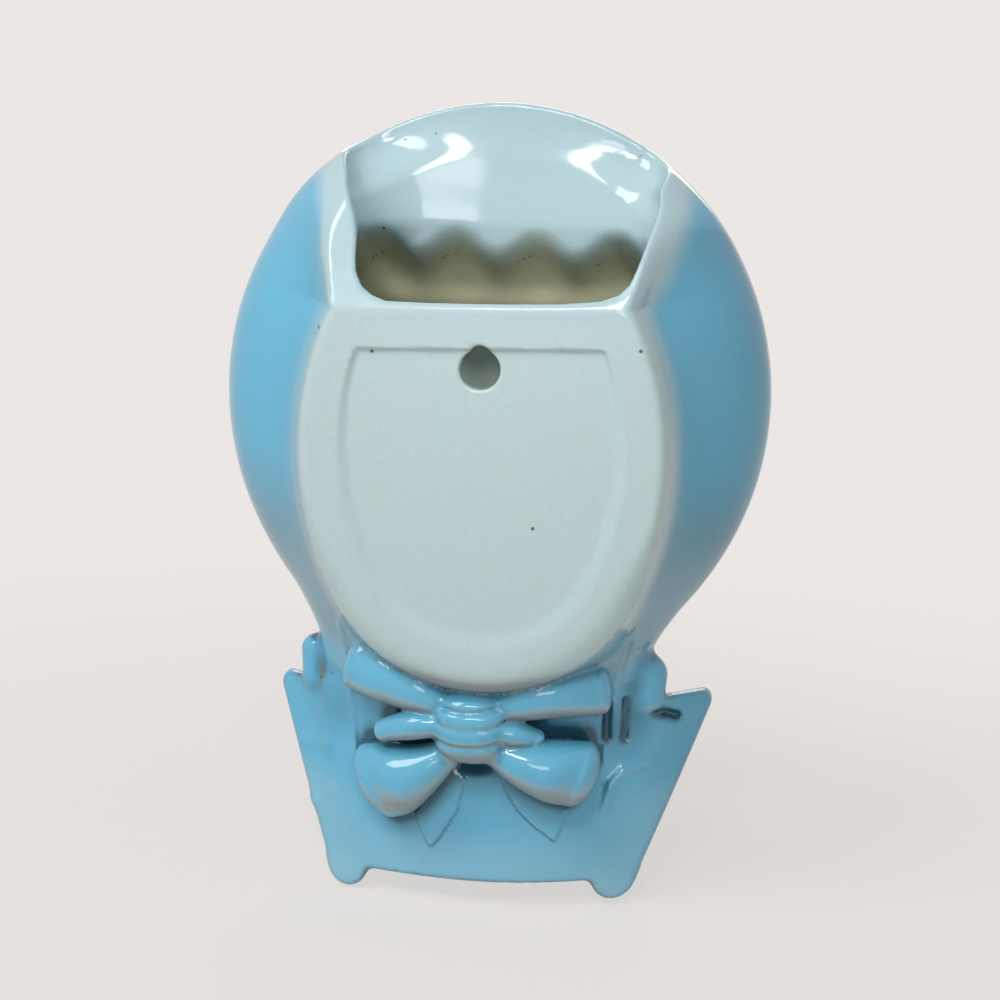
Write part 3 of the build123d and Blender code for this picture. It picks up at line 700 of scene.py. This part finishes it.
def glazeMasks(p, n):
    x, y, z = p[:, 0], p[:, 1], p[:, 2]
    up = n[:, 2]
    px, pz = turnedBack(x, z, plate["turn"])
    outside = plateMap(px, pz) + 60 * ramp(y, *spray["front"])
    face, fromMouth = -faceForm(x, y, z), mouthOpen(px, pz)
    skin, edgeIn = collarSkin(x, y, z), -collarOutline(x, z)
    low = ramp(z, *spray["low"])
    raised = ramp(-skin, *spray["raised"])
    underside = (1 - ramp(up, *spray["onUpperSide"])) * raised * low

    # inside: the hollow and the neck, then the scoop
    floor, top = spray["neckInside"]
    hollow = -join(bonnetForm(x, y, z, 2.0), flankForm(x, y, z, 2.2), 8.0)
    inNeck = (neckForm(x, y, z, 2.2) < 0) * (z <= top) * (z > floor) * (y > 8)
    inside = ramp(hollow, *spray["hollow"]) * (z > top) * ramp(y, 1.5, 2) + inNeck
    scooped = ramp(-fromMouth, 0.2, 1.5) * ramp(y, 40.5, -3.0) * (z > spray["scoopFloor"])
    inside = np.clip(np.maximum(inside, scooped), 0, 1)

    # blue round the plate, and on the collar and the bow
    blue = ramp(outside, *spray["offPlate"]) * ramp(y, *spray["offWall"]) * ramp(face, *spray["offFace"])
    blue = blue * (0.5 + 0.5 * ramp(z, *spray["upBack"])) * ramp(fromMouth, *spray["offMouth"])
    fromLobe = np.sqrt((np.abs(x) - spray["lobeX"]) ** 2 + (z - spray["lobeZ"]) ** 2)
    onCollar = smoothRamp((-98 - z) / 8 + np.abs(x) / 30 - 0.6)
    collarBlue = 0.78 + 0.22 * ramp(edgeIn, *spray["collar"])
    collarBlue = collarBlue - spray["lobePale"] * ramp(fromLobe, *spray["lobe"])
    lowBlue = collarBlue * onCollar + (1 - spray["bareUnderside"] * underside) * (1 - onCollar)
    lowBlue = lowBlue * np.maximum(ramp(y, 1.2, 2.5), ramp(outside, 0.8, 1.5))
    blue = blue * (1 - low) + lowBlue * low
    mist = spray["mist"] * ramp(z, *spray["mistUp"])
    blue = np.clip(np.maximum(blue * (1 - inside), mist), 0, 1)

    # painted shade, partly glaze pooled in hollows: darker where clay closes in round it, in the pit under the
    # knot, in the tucks, beside the gathers (more on the right), low on the back and on the right side; lighter
    # on the upper sides of the bow, as lit from above
    near, far = (1 - np.clip(formAt(p + n * poolingAndShade[reach]) / poolingAndShade[reach], 0, 1)
                 for reach in ("nearReach", "farReach"))
    poolAndShade = ramp(near, *poolingAndShade["near"]) + poolingAndShade["farShare"] * ramp(far, *poolingAndShade["far"]) * low
    # painted light: the upper sides of the bow and trimmings are kept lighter
    poolAndShade = poolAndShade * (1 - 0.8 * raised * ramp(up, *poolingAndShade["onTop"]))
    # painted shade in the pit under the bow's knot
    pit = underKnot(x, z, *poolingAndShade["pit"]) * low * (1 - raised) * (y < poolingAndShade["pitTo"])
    poolAndShade = np.clip(poolAndShade + pit, 0, 1)
    # painted shade in the tucks and beside the gathers, darker on the right
    shadeInTucks = np.exp(-(tuckAway(x, z) / poolingAndShade["tuckWidth"]) ** 2)
    shadeInTucks = shadeInTucks * (skin < relief["skinDeep"]) * (y < relief["tuckTo"])
    shadeBesideGathers = np.exp(-((np.abs(x) - poolingAndShade["gatherX"]) / poolingAndShade["gatherWidth"]) ** 2)
    shadeBesideGathers = poolingAndShade["gatherShare"] * shadeBesideGathers * ramp(z, *poolingAndShade["gatherUp"]) * (y < poolingAndShade["gatherTo"])
    shadeBesideGathers = shadeBesideGathers * (1 + 0.3 * np.sign(x))
    poolAndShade = np.clip(poolAndShade + np.maximum(shadeInTucks, shadeBesideGathers) * low * (1 - raised), 0, 1)
    # painted shade: darker towards the bottom of the bonnet off the plate, and on its right side
    shade = ramp(z, *poolingAndShade["shadeDown"]) * (1 - low) * ramp(outside, *poolingAndShade["shadeOffPlate"])
    shade = shade + 0.4 * ramp(x, *poolingAndShade["shadeRight"]) * (z < 30) * ramp(face, *poolingAndShade["shadeOffFace"])
    poolAndShade = np.maximum(poolAndShade, poolingAndShade["shadeShare"] * np.clip(shade, 0, 1) * (1 - inside))

    # worn where the clay is thin and along the collar's edge; under the bow, painted shade and painted warm
    # reflection: its undersides drawn brown-grey
    thin = 1 - np.clip(-formAt(p - n * wearAndShading["reach"]) / wearAndShading["reach"], 0, 1)
    wearAndShade = ramp(thin, *wearAndShading["thin"])
    behind, before = wearAndShading["skin"]
    onEdge = ramp(edgeIn, *wearAndShading["edge"]) * low * (skin < before) * (skin > behind)
    wearAndShade = np.clip(np.maximum(wearAndShade * low * 0.5, onEdge * (0.35 + 0.65 * wearAndShade)), 0, 1)
    # painted shade and painted warm reflection on the undersides of the bow and trimmings
    wearAndShade = np.maximum(wearAndShade, wearAndShading["underside"] * underside * (1 - onCollar))

    # beige inside below the lumps of the brow, deeper in: partly the inside's own tint, partly painted shade
    # under the brow
    oliveAndShade = inside * ramp(z, insideTintAndShade["below"] - insideTintAndShade["perLump"] * browLumps(x), insideTintAndShade["width"])
    oliveAndShade = oliveAndShade * ramp(y, *insideTintAndShade["deep"]) * (0.35 + 0.65 * ramp(z, *insideTintAndShade["high"]))
    return {"spray": blue, "poolAndShade": poolAndShade, "wearAndShade": wearAndShade, "oliveAndShade": oliveAndShade}


masks = {name: np.zeros(len(points), np.float32) for name in ("spray", "poolAndShade", "wearAndShade", "oliveAndShade")}
for name, found in glazeMasks(skinPoints, skinNormals).items():
    masks[name][onSkin] = found
print("colour masks laid")


def placed(name, data):
    # an object for the data, in the scene
    thing = bpy.data.objects.new(name, data)
    bpy.context.collection.objects.link(thing)
    return thing


def pieceMesh(name, number):
    faces = []
    for around, la, lb in quads:
        faces.append(around[la == number])
        faces.append(around[lb == number][:, ::-1])
    faces = np.concatenate(faces)
    used, flat = np.unique(faces.ravel(), return_inverse=True)
    faces = flat.reshape(-1, 4)
    mesh = bpy.data.meshes.new(name)
    mesh.from_pydata((points[used] * mm).tolist(), [], faces.tolist())
    for mask, values in masks.items():
        layer = mesh.attributes.new(mask, "FLOAT", "POINT")
        layer.data.foreach_set("value", values[used].astype(np.float32))
    mesh.polygons.foreach_set("use_smooth", np.ones(len(faces), bool))
    mesh.update()
    own = np.zeros(3 * len(used), np.float32)
    mesh.vertices.foreach_get("normal", own)
    shading = np.where(onSkin[used][:, None], normals[used], own.reshape(-1, 3))
    mesh.normals_split_custom_set_from_vertices(shading.tolist())
    print("piece", name, len(faces), "faces")
    return placed(name, mesh)


def fill(tree, node, inputs):
    # a number or a colour is set on its input, the output of another node is linked to it
    for socket, given in inputs.items():
        if isinstance(given, bpy.types.NodeSocket):
            tree.links.new(given, node.inputs[socket])
        else:
            node.inputs[socket].default_value = given
    return node


def addNode(tree, kind, inputs, **settings):
    node = tree.nodes.new(kind)
    for name, value in settings.items():
        setattr(node, name, value)
    return fill(tree, node, inputs)


def calculate(tree, operation, *given):
    return addNode(tree, "ShaderNodeMath", dict(enumerate(given)), operation=operation).outputs[0]


def sums(tree):
    # the common sums as functions, and one for the others
    return [partial(calculate, tree, *kind) for kind in (["ADD"], ["SUBTRACT"], ["MULTIPLY"], [])]


def newGroup(name, kind, given, results):
    # an empty node group: its inputs and outputs with their kinds, and what it hands in and takes back
    group = bpy.data.node_groups.new(name, kind)
    sockets = {}
    for way, wanted in (("INPUT", given), ("OUTPUT", results)):
        for socket, of in wanted.items():
            sockets[socket] = group.interface.new_socket(socket, in_out=way, socket_type="NodeSocket" + of)
    return group, sockets, group.nodes.new("NodeGroupInput").outputs, group.nodes.new("NodeGroupOutput")


# Iron specks in the glaze: x and z of each on the back
specks = {
    "places": ((-22.8, 2.8), (-25.3, 27.0), (-34.8, 7.0), (33.3, 5.7), (12.5, -33.0)),
    "radius": 0.5, "colour": (0.03, 0.03, 0.03, 1.0), "edge": 4000.0, "strength": 0.85,
}

# Noise in the glaze: scale and detail
noises = {"mottle": (55, 3), "grain": (900, 2), "waves": (70, 1), "peel": (650, 1), "spots": (160, 2)}


def noise(tree, place, kind):
    scale, detail = noises[kind]
    node = addNode(tree, "ShaderNodeTexNoise", {"Scale": scale, "Detail": detail, "Vector": place})
    return node.outputs["Fac"]


def tintGroup():
    # colour of the glaze from the masks, with painted shade in hollows, under the brow and on undersides
    colours, numbers = ("White", "Blue", "Deep", "BareShade", "WornShade"), ("Grain", "Mottle")
    given = {**dict.fromkeys(colours, "Color"), **dict.fromkeys(numbers, "Float")}
    group, _, entry, leave = newGroup("glazeTint", "ShaderNodeTree", given, {"Colour": "Color"})
    place = group.nodes.new("ShaderNodeTexCoord").outputs["Object"]
    plus, minus, times, value = sums(group)

    def mask(name):
        return addNode(group, "ShaderNodeAttribute", {}, attribute_name=name).outputs["Fac"]

    def mix(factor, a, b):
        inputs = {"Factor": factor, "A": a, "B": b}
        return addNode(group, "ShaderNodeMix", inputs, data_type="RGBA").outputs["Result"]

    def vector(operation, inputs):
        return addNode(group, "ShaderNodeVectorMath", inputs, operation=operation).outputs

    mottle = times(minus(noise(group, place, "mottle"), 0.5), entry["Mottle"])
    grain = times(minus(noise(group, place, "grain"), 0.5), entry["Grain"])
    sprayed = value("MINIMUM", value("MAXIMUM", plus(mask("spray"), mottle), 0.0), 1.0)
    colour = mix(sprayed, entry["White"], entry["Blue"])
    # painted shade: this mask mixes the glaze towards the deep blue, partly glaze pooled in hollows
    poolAndShadeShare = times(mask("poolAndShade"), plus(times(sprayed, 0.8), 0.12))
    colour = mix(poolAndShadeShare, colour, entry["Deep"])
    # beige inside below the brow, partly painted shade
    colour = mix(mask("oliveAndShade"), colour, entry["BareShade"])
    # worn brown on thin edges, and painted shade with painted warm reflection on undersides
    wornshade = plus(mask("wearAndShade"), times(grain, 2.0))
    wornshade = times(value("MAXIMUM", wornshade, 0.0), mask("wearAndShade"))
    colour = mix(value("MINIMUM", wornshade, 1.0), colour, entry["WornShade"])

    flat = vector("MULTIPLY", {0: place, 1: (1, 0.01, 1)})[0]
    nearest = 1.0
    for x, z in specks["places"]:
        away = vector("DISTANCE", {0: flat, 1: (x * mm, 0, z * mm)})["Value"]
        nearest = value("MINIMUM", nearest, away)
    spot = times(minus(specks["radius"] * mm, nearest), specks["edge"])
    spot = value("MINIMUM", value("MAXIMUM", spot, 0.0), specks["strength"])
    colour = mix(spot, colour, specks["colour"])
    bright = plus(1.0, plus(grain, times(mottle, 0.5)))
    fill(group, leave, {"Colour": vector("SCALE", {0: colour, "Scale": bright})[0]})
    return group


def skinGroup():
    # height and gloss of a poured glaze: slow waves, fine orange peel, spots of duller gloss
    given = dict.fromkeys(("Waves", "Peel", "Gloss"), "Float")
    results = dict.fromkeys(("Height", "Roughness"), "Float")
    group, _, entry, leave = newGroup("glazeSkin", "ShaderNodeTree", given, results)
    place = group.nodes.new("ShaderNodeTexCoord").outputs["Object"]
    waves, peel, spots = (
        calculate(group, "MULTIPLY", noise(group, place, kind), entry[amount])
        for kind, amount in (("waves", "Waves"), ("peel", "Peel"), ("spots", "Gloss"))
    )
    fill(group, leave, {
        "Height": calculate(group, "ADD", waves, peel),
        "Roughness": calculate(group, "ADD", spots, entry["Gloss"]),
    })
    return group


tint, skinWork = tintGroup(), skinGroup()


def linear(*colour):
    # red, green and blue from 0 to 255, as light
    shares = (part / 255 for part in colour)
    return tuple(c / 12.92 if c <= 0.04 else ((c + 0.055) / 1.055) ** 2.4 for c in shares) + (1.0,)


def glaze(name, settings):
    material = bpy.data.materials.new(name)
    material.use_nodes = True
    tree = material.node_tree

    def chosen(*sockets):
        return {socket: settings[socket.lower()] for socket in sockets}

    colours = chosen("White", "Blue", "Deep", "BareShade", "WornShade").items()
    colours = {socket: linear(*colour) for socket, colour in colours}
    colour = addNode(tree, "ShaderNodeGroup", {**colours, **chosen("Grain", "Mottle")}, node_tree=tint)
    work = addNode(tree, "ShaderNodeGroup", chosen("Waves", "Peel", "Gloss"), node_tree=skinWork)
    height = {"Strength": 0.5, "Distance": 0.001, "Height": work.outputs["Height"]}
    fill(tree, tree.nodes["Principled BSDF"], {
        "IOR": 1.5, "Specular IOR Level": settings["shine"],
        "Base Color": colour.outputs["Colour"], "Roughness": work.outputs["Roughness"],
        "Normal": addNode(tree, "ShaderNodeBump", height).outputs["Normal"],
    })
    return material


# the deep blue is for glaze pooled in hollows and for painted shade; the brown for worn edges and for painted
# shade and warm reflection on undersides; the beige for the inside, partly painted shade
glazeColours = {
    "white": (196, 218, 220), "blue": (106, 190, 224), "deep": (34, 80, 100),
    "bareshade": (204, 200, 166), "wornshade": (122, 112, 96), "shine": 0.55,
}
finishes = {
    "whiteGlaze": {"grain": 0.10, "mottle": 0.05, "waves": 0.25, "peel": 0.05, "gloss": 0.12},
    "bonnetGlaze": {"grain": 0.06, "mottle": 0.12, "waves": 0.30, "peel": 0.02, "gloss": 0.07},
    "blueGlaze": {"grain": 0.06, "mottle": 0.15, "waves": 0.30, "peel": 0.02, "gloss": 0.06},
}
whiteGlaze, bonnetGlaze, blueGlaze = (
    glaze(name, {**glazeColours, **finish}) for name, finish in finishes.items()
)

cadNames = {
    "rearPlate": "rear_plate", "pocketBack": "pocket_back", "pocketFront": "pocket_front",
    "neck": "neck", "collar": "collar", "bowKnot": "bow_knot",
    "bowLoopUpperLeft": "bow_loop_upper_left", "bowLoopUpperRight": "bow_loop_upper_right",
    "bowLoopLowerLeft": "bow_loop_lower_left", "bowLoopLowerRight": "bow_loop_lower_right",
    "bowFoldLeft": "bow_fold_left", "bowFoldRight": "bow_fold_right",
    "bowTailLeft": "bow_tail_left", "bowTailRight": "bow_tail_right",
    "gatherOuterLeft": "gather_outer_left", "gatherOuterRight": "gather_outer_right",
    "gatherInnerLeft": "gather_inner_left", "gatherInnerRight": "gather_inner_right",
    "neckRibbon": "neck_ribbon",
}
for number, name in enumerate(pieceNames, 1):
    piece = pieceMesh(name, number)
    if name == "rearPlate":
        material, slot = whiteGlaze, "white_glaze"
    elif name in ("pocketBack", "pocketFront"):
        material, slot = bonnetGlaze, "bonnet_glaze"
    else:
        material, slot = blueGlaze, "blue_glaze"
    piece.data.materials.append(material)
    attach(piece, "root")
    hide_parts(cadNames[name])


# Inputs of the gathered strips on the bonnet's front
panelInputs = {
    "Columns": "Int", "Rows": "Int", "Ripples": "Float", "Ripple Height": "Float", "Base Height": "Float",
    "Sink": "Float", "Low": "Float", "High": "Float", "Scallop": "Float", "Half Angle": "Float",
    "Spray": "Float", "Glaze": "Material",
}
panelShape = {
    "ripplePower": 0.8, "profilePower": 0.4, "endPower": 8.0,       # how square the ripples and the ends are
    "under": 0.6,                                                   # how thick the strip is below its face
    "paleGroove": (0.4, 0.6),
}


def domePanelTree():
    # a gathered strip over the bonnet's front: level lines cross it, ripples run down it
    results = {"Geometry": "Geometry"}
    tree, sockets, entry, leave = newGroup("domePanel", "GeometryNodeTree", panelInputs, results)
    plus, minus, times, value = sums(tree)

    def geometry(kind, inputs, **settings):
        return addNode(tree, kind, inputs, **settings).outputs[0]

    # a block, one across, one through and one up, that is then laid over the dome
    cube = geometry("GeometryNodeMeshCube", {"Vertices X": entry["Columns"], "Vertices Z": entry["Rows"]})
    where = tree.nodes.new("GeometryNodeInputPosition").outputs[0]
    split = addNode(tree, "ShaderNodeSeparateXYZ", {0: where}).outputs
    across = times(split["X"], 2.0)
    outer = plus(split["Y"], 0.5)
    level = plus(split["Z"], 0.5)
    fromTop = minus(1.0, level)
    turns = times(times(across, math.pi), entry["Ripples"])
    ripple = value("ABSOLUTE", value("COSINE", times(turns, 0.5)))
    ripple = value("POWER", ripple, panelShape["ripplePower"])
    profile = times(times(level, fromTop), 4.0)
    profile = value("POWER", value("MAXIMUM", profile, 0.0), panelShape["profilePower"])
    ends = minus(1.0, value("POWER", value("ABSOLUTE", across), panelShape["endPower"]))

    # lift is how far a place stands out of the dome, z how high it is
    under = panelShape["under"]
    lift = value("MULTIPLY_ADD", ripple, entry["Ripple Height"], entry["Base Height"])
    lift = plus(lift, entry["Sink"])
    lift = times(times(lift, profile), times(ends, outer))
    sunk = value("MULTIPLY_ADD", outer, -under, plus(entry["Sink"], under))
    lift = minus(lift, sunk)
    drop = times(times(entry["Scallop"], ripple), fromTop)
    span = minus(entry["High"], entry["Low"])
    z = minus(value("MULTIPLY_ADD", level, span, entry["Low"]), drop)

    # the dome is an ellipse at each height
    fromMiddle = value("DIVIDE", minus(z, bonnet["centreZ"]), bonnet["halfHeight"])
    share = minus(1.0, times(fromMiddle, fromMiddle))
    share = value("SQRT", value("MAXIMUM", share, 0.0))
    angle = times(across, value("RADIANS", entry["Half Angle"]))
    sideLift = times(lift, bonnet["frontBulge"] / bonnet["halfWidth"])
    wide = value("MULTIPLY_ADD", share, bonnet["halfWidth"], sideLift)
    deep = value("MULTIPLY_ADD", share, bonnet["frontBulge"], lift)
    x = times(wide, value("SINE", angle))
    y = value("MULTIPLY_ADD", deep, value("COSINE", angle), bonnet["middleY"])
    place = {axis: times(length, mm) for axis, length in (("X", x), ("Y", y), ("Z", z))}
    place = addNode(tree, "ShaderNodeCombineXYZ", place).outputs[0]
    shaped = geometry("GeometryNodeSetPosition", {"Geometry": cube, "Position": place})
    blue = times(entry["Spray"], value("MULTIPLY_ADD", ripple, *panelShape["paleGroove"]))
    blue = {"Geometry": shaped, "Name": "spray", "Value": blue}
    kept = geometry("GeometryNodeStoreNamedAttribute", blue, data_type="FLOAT", domain="POINT")
    real = geometry("GeometryNodeRealizeInstances", {"Geometry": kept})
    dressed = geometry("GeometryNodeSetMaterial", {"Geometry": real, "Material": entry["Glaze"]})
    fill(tree, leave, {"Geometry": dressed})
    return tree, sockets


frill = {
    "Columns": 300, "Rows": 26, "Ripples": 12.0, "Ripple Height": 1.9, "Base Height": 1.6, "Sink": 1.4,
    "Low": 14.0, "High": 33.0, "Scallop": 3.0, "Half Angle": 76.0, "Spray": 0.0, "Glaze": whiteGlaze,
}
pleats = {
    "Columns": 320, "Rows": 60, "Ripples": 13.0, "Ripple Height": 1.5, "Base Height": 0.0, "Sink": 1.4,
    "Low": -62.0, "High": 17.0, "Scallop": 0.0, "Half Angle": 58.0, "Spray": 0.95, "Glaze": bonnetGlaze,
}


def domePanel(name, tree, sockets, settings):
    maker = placed(name + "Seed", bpy.data.meshes.new(name + "Seed"))
    modifier = maker.modifiers.new("domePanel", "NODES")
    modifier.node_group = tree
    for key, given in settings.items():
        modifier[sockets[key].identifier] = given
    bpy.context.view_layer.update()
    made = maker.evaluated_get(bpy.context.evaluated_depsgraph_get())
    mesh = bpy.data.meshes.new_from_object(made)
    maker.modifiers.remove(modifier)
    bpy.data.objects.remove(maker)
    mesh.name = name
    mesh.polygons.foreach_set("use_smooth", np.ones(len(mesh.polygons), bool))
    print("piece", name, len(mesh.polygons), "faces")
    return placed(name, mesh)


panelTree, panelSockets = domePanelTree()
for name, node, slot, settings in (("frontFrill", "front_frill", "white_glaze", frill),
                                   ("frontPleats", "front_pleats", "bonnet_glaze", pleats)):
    piece = domePanel(name, panelTree, panelSockets, settings)
    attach(piece, "root")
    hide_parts(node)


# Floor, camera and light
stage = {
    "floorZ": -123.3, "floorHalf": 6.0, "colour": (235, 231, 228),
    # the floor's own light, from the middle outwards
    "From Min": 0.10, "From Max": 0.42, "To Min": 0.72, "To Max": 1.0,
}


def backgroundRays(tree):
    # the rays that see the plain background: straight, mirrored and through glass
    seen = tree.nodes.new("ShaderNodeLightPath").outputs
    total = seen["Is Camera Ray"]
    for kind in ("Is Glossy Ray", "Is Transmission Ray"):
        total = calculate(tree, "ADD", total, seen[kind])
        total.node.use_clamp = True
    return total


def flatMaterial(name, colour):
    material = bpy.data.materials.new(name)
    material.use_nodes = True
    tree = material.node_tree
    shader = fill(tree, tree.nodes["Principled BSDF"], {
        "Base Color": linear(*colour), "Roughness": 0.9, "Specular IOR Level": 0.1,
    })
    glow = addNode(tree, "ShaderNodeEmission", {"Color": linear(*colour)})
    place = tree.nodes.new("ShaderNodeTexCoord").outputs["Object"]
    away = addNode(tree, "ShaderNodeVectorMath", {0: place}, operation="LENGTH").outputs["Value"]
    reach = {socket: stage[socket] for socket in ("From Min", "From Max", "To Min", "To Max")}
    fade = addNode(tree, "ShaderNodeMapRange", {**reach, "Value": away}, interpolation_type="SMOOTHSTEP")
    share = calculate(tree, "MULTIPLY", backgroundRays(tree), fade.outputs["Result"])
    both = {"Fac": share, 1: shader.outputs["BSDF"], 2: glow.outputs["Emission"]}
    both = addNode(tree, "ShaderNodeMixShader", both).outputs["Shader"]
    fill(tree, tree.nodes["Material Output"], {"Surface": both})
    return material


def paleFloor():
    mesh = bpy.data.meshes.new("paleFloor")
    z, half = stage["floorZ"] * mm, stage["floorHalf"]
    corners = [(x * half, y * half, z) for x, y in ((-1, -1), (1, -1), (1, 1), (-1, 1))]
    mesh.from_pydata(corners, [], [(0, 1, 2, 3)])
    mesh.materials.append(flatMaterial("paleFloor", stage["colour"]))
    placed("paleFloor", mesh)


paleFloor()

view = {
    "distance": 430.0, "around": 6.5, "above": 11.0, "roll": 2.2, "target": (0.0, 25.0, -32.0),
    "focal": 69.1, "shift": (0.0118, -0.0014),
}


def placeCamera():
    a, e, roll = (math.radians(view[key]) for key in ("around", "above", "roll"))
    back = Vector((math.sin(a) * math.cos(e), -math.cos(a) * math.cos(e), math.sin(e)))
    right = Vector((math.cos(a), math.sin(a), 0))
    up = back.cross(right)
    turnedRight = right * math.cos(roll) + up * math.sin(roll)
    turnedUp = up * math.cos(roll) - right * math.sin(roll)
    data = bpy.data.cameras.new("camera")
    data.sensor_width = 36.0
    data.lens = view["focal"]
    data.shift_x, data.shift_y = view["shift"]
    data.clip_start = 0.01
    camera = placed("camera", data)
    spot = (Vector(view["target"]) + back * view["distance"]) * mm
    turned = Matrix((turnedRight, turnedUp, back)).transposed().to_4x4()
    camera.matrix_world = Matrix.Translation(spot) @ turned
    bpy.context.scene.camera = camera


placeCamera()

lamps = {
    "keyPanel": {
        "place": (-480, -450, 740), "aim": (0, 20, -20), "size": (420, 420),
        "power": 4.3, "colour": (1.0, 0.99, 0.98),
    },
    "topWindow": {
        "place": (-40, -620, 560), "aim": (0, 40, 0), "size": (210, 150),
        "power": 1.7, "colour": (0.97, 1.0, 1.0),
    },
    "lowPanel": {
        "place": (260, -1150, 430), "aim": (0, 20, -20), "size": (380, 300),
        "power": 1.8, "colour": (1.0, 0.99, 0.97),
    },
    "mouthLamp": {
        "place": (40, -240, 210), "aim": (0, 30, 14), "size": (60, 60),
        "power": 0.004, "colour": (1.0, 1.0, 0.98), "spread": 26,
    },
    "frontPanel": {
        "place": (0, 1200, 500), "aim": (0, 20, -40), "size": (900, 500),
        "power": 3.0, "colour": (1.0, 0.99, 0.97),
    },
}
room = {"colour": (0.80, 0.84, 0.86, 1), "strength": 0.2}


def lightUp():
    for name, lamp in lamps.items():
        data = bpy.data.lights.new(name, "AREA")
        data.shape = "RECTANGLE"
        data.size, data.size_y = (side * mm for side in lamp["size"])
        data.energy = lamp["power"]
        data.color = lamp["colour"]
        data.spread = math.radians(lamp.get("spread", 180))
        light = placed(name, data)
        light.location = Vector(lamp["place"]) * mm
        aim = (Vector(lamp["aim"]) - Vector(lamp["place"])).normalized()
        light.rotation_euler = aim.to_track_quat("-Z", "Y").to_euler()
    world = bpy.data.worlds.new("room")
    world.use_nodes = True
    bpy.context.scene.world = world
    tree = world.node_tree
    lit = {"Color": room["colour"], "Strength": room["strength"]}
    lit = fill(tree, tree.nodes["Background"], lit).outputs[0]
    plain = addNode(tree, "ShaderNodeBackground", {"Color": linear(*stage["colour"])}).outputs[0]
    both = addNode(tree, "ShaderNodeMixShader", {"Fac": backgroundRays(tree), 1: lit, 2: plain}).outputs[0]
    fill(tree, tree.nodes["World Output"], {"Surface": both})


lightUp()
bpy.context.scene.view_settings.view_transform = "Standard"
print("stage, camera and lamps placed")
